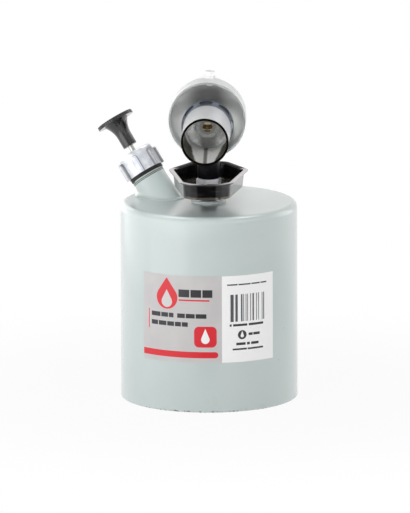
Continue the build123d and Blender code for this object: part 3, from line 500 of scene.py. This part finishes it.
def dark_green_thread():
    """The neck's thread, dark green-grey with darker blotches."""
    return metal_finish("dark_green_thread", (58, 70, 62), (96, 108, 100), 0.4,
                        grain=0.5 * MM, stains=(36, 44, 38), metallic=0.3)


def black_casting():
    """Dark and sooty, but for the turned nose that shows round the jet."""
    material, place = start("black_casting")
    y = axes(place)[1]
    grit = noise(place, 0.5 * MM, 3.0, 0.6)
    cloud = noise(place, 7 * MM, 4.0, 0.6)
    metal = blend(ramp(cloud, 0.32, 0.68), colour(20, 20, 24), colour(34, 33, 36))
    turned = blend(ramp(grit, 0.4, 0.6), colour(140, 139, 135), colour(176, 175, 170))
    metal = blend(ramp(y, casting_nose_y, casting_nose_y - 2 * MM), metal, turned)
    sockets = {"Base Color": metal, "Metallic": 0.85, "Roughness": 0.36 + grit * 0.12}
    return complete(material, place, sockets, grit, 0.03 * MM)


def browned_brass_painted_light():
    """The jet: browned brass, with a painted highlight on its upper side, a painted highlight line below
    the hole and painted shadow below that.
    """
    material, place = start("browned_brass_painted_light")
    z = axes(place)[2]
    cloud = noise(place, 2.5 * MM, 4.0, 0.6)
    rise = z - burner_z + (cloud - 0.5) * MM
    brown = blend(ramp(cloud, 0.35, 0.62), colour(70, 55, 34), colour(120, 98, 62))
    # Painted highlight on the upper side
    metal = blend(ramp(rise, 1.8 * MM, 2.3 * MM), brown, colour(250, 240, 214))
    # Painted highlight line below the hole
    metal = blend(ramp(rise, -1.2 * MM, -1.5 * MM), metal, colour(232, 214, 172))
    # Painted shadow at the bottom
    metal = blend(ramp(rise, -2.1 * MM, -2.3 * MM), metal, colour(12, 12, 12))
    sockets = {"Base Color": metal, "Metallic": 1.0, "Roughness": 0.3 + cloud * 0.1}
    return complete(material, place, sockets, cloud, 0.02 * MM)


def cap_casting():
    """The pump cap: bright, cloudy, with painted shade along the outlines of its lugs and a painted shade
    line on each lug.
    """
    material, place = start("cap_casting")
    from_foot = place.node("ShaderNodeVectorMath", {"operation": "SUBTRACT"}, {0: place, 1: pump_foot})

    def along(direction):
        dot = {"operation": "DOT_PRODUCT"}
        return from_foot.node("ShaderNodeVectorMath", dot, {0: from_foot, 1: direction}, output="Value")

    # Distance from the outline that each lug follows: straight along the cap, and round at its end
    length = along(pump_dir)
    across = along(neck_side)
    side = along(pump_dir.cross(neck_side))
    radius = hypotenuse(across, side)
    turn = side.math("ARCTAN2", side, across) - cap_lug_turn
    arc = wrapped(turn, math.pi / cap_lugs) * cap_r
    past = largest(length - lug_round_at, 0.0)
    from_middle = hypotenuse(arc, past)

    # Painted shade along each lug's outline, and a painted shade line along its top
    lug_outline_shade = ramp(abs(from_middle - lug_half), 0.5 * MM, 0.15 * MM)
    lug_outline_shade = lug_outline_shade * ramp(radius, cap_r - 0.8 * MM, cap_r - 0.3 * MM)
    lug_crease_shade = ramp(abs(from_middle - lug_half * 0.55), 0.3 * MM, 0.1 * MM)
    lug_crease_shade = lug_crease_shade * ramp(radius, cap_r + 1.2 * MM, cap_r + 1.6 * MM)
    cloud = noise(place, 6 * MM, 4.0, 0.6)
    fine = noise(place, 0.6 * MM, 3.0, 0.6)
    metal = blend(ramp(cloud, 0.38, 0.62), colour(212, 215, 224), colour(242, 243, 247))
    metal = blend(ramp(noise(place, 3 * MM, 3.0), 0.6, 0.72) * 0.5, metal, colour(164, 168, 182))
    metal = blend(lug_crease_shade * 0.5, metal, colour(140, 142, 148))
    metal = blend(lug_outline_shade * 0.75, metal, colour(96, 98, 102))
    sockets = {"Base Color": metal, "Metallic": 0.5, "Roughness": 0.24 + fine * 0.12}
    return complete(material, place, sockets, fine, 0.02 * MM)


def moulded_plastic():
    """The pump knob, the wheel and the grip: black, slightly dusty, with a satin skin."""
    material, place = start("moulded_plastic")
    grain = noise(place, 0.5 * MM, 2.0)
    cloud = noise(place, 12 * MM, 3.0)
    shade = blend(ramp(cloud, 0.3, 0.7), colour(26, 26, 27), colour(42, 42, 43))
    dust = ramp(noise(place, 1.1 * MM, 4.0, 0.7), 0.62, 0.74)
    shade = blend(dust * 0.12, shade, colour(88, 86, 82))
    sockets = {
        "Base Color": shade,
        "Roughness": 0.16 + grain * 0.08,
        "Coat Weight": 0.6,
        "Coat Roughness": 0.12,
    }
    return complete(material, place, sockets, grain, 0.004 * MM)


def black_rubber():
    material, place = start("black_rubber")
    grain = noise(place, 0.7 * MM, 3.0)
    shade = blend(ramp(grain, 0.3, 0.7), colour(16, 16, 16), colour(34, 33, 32))
    sockets = {"Base Color": shade, "Roughness": 0.55 + grain * 0.2}
    return complete(material, place, sockets, grain, 0.04 * MM)


def oiled_leather():
    """The pump's cup: brown, with pores between raised cells."""
    material, place = start("oiled_leather")
    cells = {"Vector": place, "Scale": 1 / MM}
    from_edge = place.node("ShaderNodeTexVoronoi", {"feature": "DISTANCE_TO_EDGE"}, cells)
    cloud = noise(place, 3 * MM, 4.0)
    shade = blend(ramp(cloud, 0.3, 0.7), colour(92, 62, 36), colour(132, 92, 56))
    sockets = {"Base Color": shade, "Roughness": 0.5 - ramp(from_edge, 0.0, 0.2) * 0.12}
    return complete(material, place, sockets, ramp(from_edge, 0.0, 0.15), 0.06 * MM)


# The label's print, measured in millimetres along the tank's front and up from the floor
label_left = -51.2
label_join = 11.6
label_right = 54.1
label_bottom = 37.4
label_top = 102.0
print_soft = 0.12
bar_width = 0.62
bar_share = 0.46


def panel(across, up, left, right, bottom, top, corner=0.0):
    """1 inside a rectangle with rounded corners."""
    middle_x = (left + right) / 2
    middle_y = (bottom + top) / 2
    half_x = (right - left) / 2 - corner
    half_y = (top - bottom) / 2 - corner
    past_x = largest(abs(across - middle_x) - half_x, 0.0)
    past_y = largest(abs(up - middle_y) - half_y, 0.0)
    return ramp(hypotenuse(past_x, past_y), corner + print_soft, corner)


def word_row(across, up, bottom, top, words):
    """1 in a row of plain blocks, each from one place to another, that stand where words would."""
    return largest(*[panel(across, up, left, right, bottom, top) for left, right in words])


def drop(across, up, x, y, radius, tip):
    """1 inside a drop: a disc, and a point above its middle at a distance of tip."""
    from_x = across - x
    from_y = up - y
    disc = ramp(hypotenuse(from_x, from_y), radius + print_soft, radius - print_soft)
    slope = radius / math.sqrt(tip ** 2 - radius ** 2)
    above = from_y > radius * radius / tip
    point = ramp(abs(from_x) - (tip - from_y) * slope, print_soft, -print_soft) * above
    return largest(disc, point)


def label_print():
    """Two fields, a rule, a badge, a band, a flame, and plain blocks and bars where print would be."""
    material, place = start("label_print")
    x, y, z = axes(place)
    across = x.math("ARCTAN2", x, -y) * (tank_r / MM)
    up = z / MM
    fibre = noise(place, 0.5 * MM, 3.0)
    cloud = noise(place, 20 * MM, 2.0)
    grey = blend(ramp(cloud, 0.3, 0.7), colour(200, 196, 197), colour(206, 203, 203))
    sheet = blend(across > label_join, grey, colour(254, 254, 254))

    # Red marks
    marks = largest(
        panel(across, up, label_left - 1, 8.8, 41.0, 45.5, 2.2),
        panel(across, up, label_left - 1, label_left + 6, 41.0, 45.5),
        panel(across, up, -8.8, 7.7, 49.0, 64.5, 3.6),
        panel(across, up, -46.0, -45.3, 61.2, 75.4),
        drop(across, up, -30.0, 85.2, 8.6, 15.0),
        panel(across, up, -20.5, 2.5, 83.4, 84.4),
    )
    sheet = blend(marks, sheet, colour(222, 28, 44))
    sheet = blend(drop(across, up, -30.0, 82.2, 4.3, 9.0), sheet, colour(214, 211, 211))
    sheet = blend(drop(across, up, -0.6, 54.8, 3.1, 8.2), sheet, colour(250, 250, 250))

    # Dark marks: rows of words by their bottom, top and blocks, then a ring
    rows = (
        (86.2, 91.8, ((-20.5, -12.4), (-11.4, -3.6), (-2.6, 4.6))),
        (70.6, 73.8, ((-43.2, -35.4), (-34.6, -29.0), (-28.2, -24.6),
                      (-21.6, -15.8), (-15.0, -8.4), (-7.6, 0.2))),
        (64.2, 67.4, ((-43.2, -37.6), (-36.8, -30.4), (-29.6, -24.2), (-23.4, -18.8), (-18.0, -13.6))),
        (56.9, 58.7, ((32.2, 35.4), (36.0, 41.4))),
        (94.8, 95.7, ((15.6, 23.4), (24.2, 33.8), (34.6, 41.6), (42.4, 47.6))),
        (64.2, 65.8, ((17.4, 18.8), (20.0, 31.0), (32.2, 44.6))),
        (50.0, 51.8, ((22.4, 29.6), (30.8, 33.0), (34.2, 40.4))),
        (46.4, 47.6, ((19.6, 30.6), (31.4, 44.4))),
    )
    ring = drop(across, up, 27.0, 57.6, 3.4, 3.5) - drop(across, up, 27.0, 56.9, 1.3, 3.6)
    dark = largest(*[word_row(across, up, *row) for row in rows], ring)
    sheet = blend(dark, sheet, colour(34, 34, 38))

    # Block of bars
    stripe = across.math("FLOOR", across / bar_width)
    bars = across.node("ShaderNodeTexWhiteNoise", {"noise_dimensions": "1D"}, {"W": stripe}) > bar_share
    bars = bars * panel(across, up, 17.8, 45.5, 67.7, 87.9)
    sheet = blend(bars, sheet, colour(72, 75, 80))
    sockets = {
        "Base Color": sheet,
        "Roughness": 0.3 + fibre * 0.1,
        "Coat Weight": 0.15,
        "Coat Roughness": 0.2,
    }
    return complete(material, place, sockets, fibre, 0.01 * MM)


finishes = {
    "tank_paint": tank_enamel(),
    "hood_paint": hood_enamel(),
    "black_chrome": black_chrome(),
    "chrome_plate": bright_chrome(),
    "dark_steel": blackened_steel(),
    "cast_metal": black_casting(),
    "zinc_plate": zinc_plating(),
    "cap_metal": cap_casting(),
    "brass": turned_brass(),
    "black_plastic": moulded_plastic(),
    "black_rubber": black_rubber(),
    "leather": oiled_leather(),
}
own_finishes = {
    "jet_nozzle": browned_brass_painted_light(),
    "tube_nut": sooty_steel(),
    "pan_nut": bright_nut(),
    "hood_screw": pale_nut(),
}
for part in frame["record"]["subparts"]:
    finish = own_finishes.get(part["node"], finishes[part["material_slot"]])
    for slot in frame["nodes"][part["node"]].material_slots:
        slot.material = finish


# Pieces that only the scene has
def finished(piece, name, material, body):
    """Names a finished piece, puts its place into its mesh and lets it ride on its body."""
    bpy.ops.object.transform_apply(location=True, rotation=True, scale=True)
    piece.name = name
    piece.data.materials.clear()
    piece.data.materials.append(material)
    piece.select_set(False)
    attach(piece, body)


def apply_modifier(piece, kind, **settings):
    modifier = piece.modifiers.new(kind.lower(), kind)
    for name, value in settings.items():
        setattr(modifier, name, value)
    bpy.ops.object.modifier_apply(modifier=modifier.name)


def tank_label():
    """The printed foil round the tank's front: a hoop cut to the label's two upright edges."""
    height = (label_top - label_bottom) * MM
    middle = (label_top + label_bottom) / 2 * MM
    bpy.ops.mesh.primitive_cylinder_add(vertices=360, radius=tank_r + foil_gap, depth=height,
                                        location=(0, 0, middle), end_fill_type="NOTHING")
    piece = bpy.context.object
    bpy.ops.object.mode_set(mode="EDIT")
    for edge, side in ((label_left, "clear_inner"), (label_right, "clear_outer")):
        angle = edge * MM / tank_r
        across_edge = (math.cos(angle), math.sin(angle), 0)
        bpy.ops.mesh.select_all(action="SELECT")
        bpy.ops.mesh.bisect(plane_co=(0, 0, 0), plane_no=across_edge, **{side: True})
    bpy.ops.mesh.select_all(action="SELECT")
    bpy.ops.mesh.normals_make_consistent(inside=False)
    bpy.ops.object.mode_set(mode="OBJECT")
    apply_modifier(piece, "SOLIDIFY", thickness=foil_thickness, offset=1)
    bpy.ops.object.shade_smooth_by_angle(angle=math.radians(30))
    finished(piece, "tank_label", label_print(), "root")


def helix(turns, radius):
    """A thread's crest round the Z axis from the origin up, as one closed ridge, left in object mode."""
    bpy.ops.mesh.primitive_circle_add(vertices=8, radius=thread_crest, location=(radius, 0, 0),
                                      rotation=(math.pi / 2, 0, 0), fill_type="NOTHING")
    bpy.ops.object.transform_apply(location=True, rotation=True, scale=True)
    piece = bpy.context.object
    steps_a_turn = 96
    steps = int(steps_a_turn * turns)
    apply_modifier(piece, "SCREW", angle=math.tau * turns, screw_offset=thread_pitch * turns,
                   steps=steps, render_steps=steps, use_merge_vertices=False)
    bpy.ops.object.mode_set(mode="EDIT")
    bpy.ops.mesh.select_all(action="DESELECT")
    bpy.ops.mesh.select_mode(type="EDGE")
    bpy.ops.mesh.select_non_manifold(extend=False)
    bpy.ops.mesh.edge_face_add()
    bpy.ops.mesh.select_all(action="SELECT")
    bpy.ops.mesh.normals_make_consistent(inside=False)
    bpy.ops.object.mode_set(mode="OBJECT")
    bpy.ops.object.shade_smooth_by_angle(angle=math.radians(60))
    return piece


def neck_thread():
    """The last turns of the filler neck's thread, below the gasket."""
    piece = helix(neck_thread_turns, neck_r)
    piece.location = pump_foot + pump_dir * neck_thread_start
    piece.rotation_mode = "QUATERNION"
    piece.rotation_quaternion = Vector((0, 0, 1)).rotation_difference(pump_dir)
    finished(piece, "neck_thread", dark_green_thread(), "root")


def spindle_thread():
    """The valve spindle's thread where it leaves the gland nut."""
    piece = helix(spindle_thread_turns, spindle_r)
    piece.location = (0, spindle_thread_start, burner_z)
    piece.rotation_euler = (-math.pi / 2, 0, 0)
    finished(piece, "spindle_thread", finishes["zinc_plate"], "spindle")


def bracket_weld(name, x, y, z):
    """An upright weld with an uneven surface, under the tank's paint."""
    bpy.ops.mesh.primitive_cylinder_add(vertices=14, radius=weld_r, depth=weld_length, location=(x, y, z))
    piece = bpy.context.object
    bpy.ops.object.mode_set(mode="EDIT")
    bpy.ops.mesh.bevel(offset=weld_round, segments=3)
    bpy.ops.mesh.subdivide(number_cuts=3)
    bpy.ops.object.mode_set(mode="OBJECT")
    lumps = bpy.data.textures.new(name, "CLOUDS")
    lumps.noise_scale = weld_lumps
    apply_modifier(piece, "DISPLACE", texture=lumps, texture_coords="GLOBAL", strength=weld_unevenness,
                   mid_level=0.5)
    bpy.ops.object.shade_smooth()
    finished(piece, name, finishes["tank_paint"], "root")


def bracket_welds():
    """Four welds, one along each side of the strip's two feet."""
    foot_y = math.sqrt(tank_r ** 2 - strip_high.x ** 2)
    for end, z in (("lower", strip_low.z + weld_from_end), ("upper", strip_high.z - weld_from_end)):
        for side, x in (("left", strip_low.x), ("right", strip_high.x)):
            bracket_weld("bracket_weld_" + end + "_" + side, x, foot_y + weld_proud, z)


tank_label()
neck_thread()
spindle_thread()
bracket_welds()


# Camera, at the photograph's angle
camera_azimuth = math.radians(2.0)
camera_elevation = math.radians(11.5)
camera_roll = math.radians(-0.2)
camera_distance = 14.0
camera_target = Vector((-2.9 * MM, 0, 103.8 * MM))
film_width_mm = 36
focal_length_mm = 1337

back = Vector((
    math.sin(camera_azimuth) * math.cos(camera_elevation),
    -math.cos(camera_azimuth) * math.cos(camera_elevation),
    math.sin(camera_elevation),
))
bpy.ops.object.camera_add()
camera = bpy.context.object
camera.location = camera_target + back * camera_distance
camera.rotation_mode = "QUATERNION"
camera.rotation_quaternion = (-back).to_track_quat("-Z", "Y") @ Quaternion((0, 0, 1), camera_roll)
camera.data.sensor_width = film_width_mm
camera.data.lens = focal_length_mm
bpy.context.scene.camera = camera


# Light, floor and background
def turned_lamp(kind, name, place, target):
    """A lamp of this kind at a place, turned to its target."""
    bpy.ops.object.light_add(type=kind, location=place)
    lamp = bpy.context.object
    lamp.name = name
    lamp.rotation_mode = "QUATERNION"
    lamp.rotation_quaternion = (Vector(target) - Vector(place)).to_track_quat("-Z", "Y")
    return lamp


def softbox(name, place, size, brightness, target, in_gloss=True, in_matt=True):
    """A panel of light turned to its target, seen in gloss, by matt surfaces or by both."""
    lamp = turned_lamp("AREA", name, place, target)
    width, height = size
    lamp.data.shape = "RECTANGLE"
    lamp.data.size = width
    lamp.data.size_y = height
    lamp.data.energy = brightness * math.pi * width * height
    lamp.visible_glossy = in_gloss
    lamp.visible_diffuse = in_matt


def upright_softbox(name, azimuth, distance, width, bottom, top, brightness):
    """A panel that stands upright and faces the object, at an azimuth counted from the camera's side."""
    angle = math.radians(azimuth)
    middle = (bottom + top) / 2
    place = (math.sin(angle) * distance, -math.cos(angle) * distance, middle)
    softbox(name, place, (width, top - bottom), brightness, (0, 0, middle))


def snooted_spot(name, target, azimuth, elevation, power, spread):
    """A narrow lamp 1.2 m from its target, left out of gloss; angles in degrees."""
    distance = 1.2
    turn = math.radians(azimuth)
    rise = math.radians(elevation)
    toward = Vector((math.sin(turn) * math.cos(rise), -math.cos(turn) * math.cos(rise), math.sin(rise)))
    lamp = turned_lamp("SPOT", name, target + toward * distance, target)
    lamp.data.energy = power
    lamp.data.spot_size = math.radians(spread)
    lamp.data.spot_blend = 0.35
    lamp.data.shadow_soft_size = 0.04
    lamp.visible_glossy = False


def seen(wire):
    """1 for rays from the camera and for those that metal and glass send on."""
    rays = ("Is Camera Ray", "Is Glossy Ray", "Is Transmission Ray")
    return largest(*[wire.node("ShaderNodeLightPath", output=ray) for ray in rays])


def white_world(fill):
    """White where it is seen, and a weak light on all else."""
    world = bpy.context.scene.world or bpy.data.worlds.new("world")
    bpy.context.scene.world = world
    world.use_nodes = True
    world.node_tree.nodes.clear()
    wire = Wire(world.node_tree)
    strength = seen(wire) * (1 - fill) + fill
    shown = wire.node("ShaderNodeBackground", {}, {"Color": (1, 1, 1, 1), "Strength": strength})
    wire.node("ShaderNodeOutputWorld", {}, {"Surface": shown})


def two_shaders(place, share, first, second):
    """Ends a stage material: the first shader where the share is 0, the second where it is 1."""
    both = place.node("ShaderNodeMixShader", {}, {0: share, 1: first, 2: second})
    place.node("ShaderNodeOutputMaterial", {}, {"Surface": both})


def white_floor():
    """White where it is seen, less so near the object, so that the object's shadow stays."""
    bpy.ops.mesh.primitive_plane_add(size=60, location=(0, 0, -0.1 * MM))
    floor = bpy.context.object
    floor.name = "floor"
    material, place = start("white_floor")
    reach = place.node("ShaderNodeVectorMath", {"operation": "LENGTH"}, {0: place}, output="Value")
    glow_near = 0.92
    glow_for_matt = 0.55
    glow = ramp(reach, 0.1, 0.36) * (1 - glow_near) + glow_near
    share = seen(place) * (glow - glow_for_matt) + glow_for_matt
    matt = place.node("ShaderNodeBsdfDiffuse", {}, {"Color": (0.8, 0.8, 0.8, 1)})
    glowing = place.node("ShaderNodeEmission", {}, {"Color": (1, 1, 1, 1), "Strength": 1.0})
    two_shaders(place, share, matt, glowing)
    floor.data.materials.append(material)
    floor.select_set(False)


def dark_flag(name, place, size, lean=0.0, soft=0.2, weight=1.0):
    """A black card with soft edges that only metal and gloss see; soft is a share of its half width."""
    bpy.ops.mesh.primitive_plane_add(size=2, location=place, rotation=(math.radians(lean), 0, 0))
    flag = bpy.context.object
    flag.name = name
    flag.scale = (size[0] / 2, size[1] / 2, 1)
    material, on_card = start(name)
    x, y = axes(on_card)[:2]
    cover = ramp(abs(x), 1.0, 1.0 - soft) * ramp(abs(y), 1.0, 1.0 - soft) * weight
    clear = on_card.node("ShaderNodeBsdfTransparent")
    black = on_card.node("ShaderNodeBsdfDiffuse", {}, {"Color": (0.01, 0.01, 0.01, 1)})
    two_shaders(on_card, cover, clear, black)
    flag.data.materials.append(material)
    flag.visible_camera = False
    flag.visible_diffuse = False
    flag.visible_shadow = False
    flag.select_set(False)


upright_softbox("left_softbox", -51, 0.46, 0.45, 0.0, 0.34, 1.3)
upright_softbox("left_side_softbox", -107, 0.55, 0.6, 0.0, 0.4, 1.05)
upright_softbox("right_softbox", 46, 0.8, 0.78, 0.3, 0.8, 1.0)
upright_softbox("left_rear_softbox", -150, 0.9, 0.5, 0.0, 0.8, 1.1)
upright_softbox("right_rear_softbox", 118, 0.9, 0.6, 0.0, 0.8, 1.35)
softbox("left_overhead", (-0.46, 0.25, 1.25), (0.5, 0.6), 6.0, (-0.46, 0.25, 0), in_matt=False)
softbox("right_overhead", (0.42, 0.25, 1.25), (0.5, 0.6), 4.5, (0.42, 0.25, 0), in_matt=False)
softbox("overhead", (0, 0.2, 1.25), (1.4, 0.6), 1.8, (0, 0.2, 0), in_gloss=False)
softbox("left_fill", (-0.47, -1.0, 0.85), (0.35, 0.5), 5.0, (0, 0, 0.2), in_gloss=False)
softbox("right_fill", (0.47, -1.0, 0.85), (0.35, 0.5), 4.6, (0, 0, 0.2), in_gloss=False)

# Spots on the burner's mouth and bowl, and one on the pan's nut
bowl_middle = Vector((0, hood_front, burner_z))
snooted_spot("left_spot", bowl_middle, -30, 4, 42, 3.4)
snooted_spot("right_spot", bowl_middle, 30, 4, 42, 3.4)
snooted_spot("upper_spot", bowl_middle, 0, 33, 54, 3.4)
snooted_spot("front_spot", bowl_middle, 0, 6, 13, 3.4)
snooted_spot("nut_spot", pan_nut_front, -14, 14, 120, 1.1)

white_world(0.12)
white_floor()
dark_flag("floor_flag", (0.002, -0.27, 0.001), (0.13, 0.3), soft=0.75)
dark_flag("room_flag", (0, -1.3, 1.55), (3.6, 2.5), lean=90, soft=0.1, weight=0.5)
dark_flag("ceiling_flag", (0, -0.25, 1.7), (3.0, 2.0), soft=0.2, weight=0.8)
bpy.context.scene.view_settings.view_transform = "Standard"
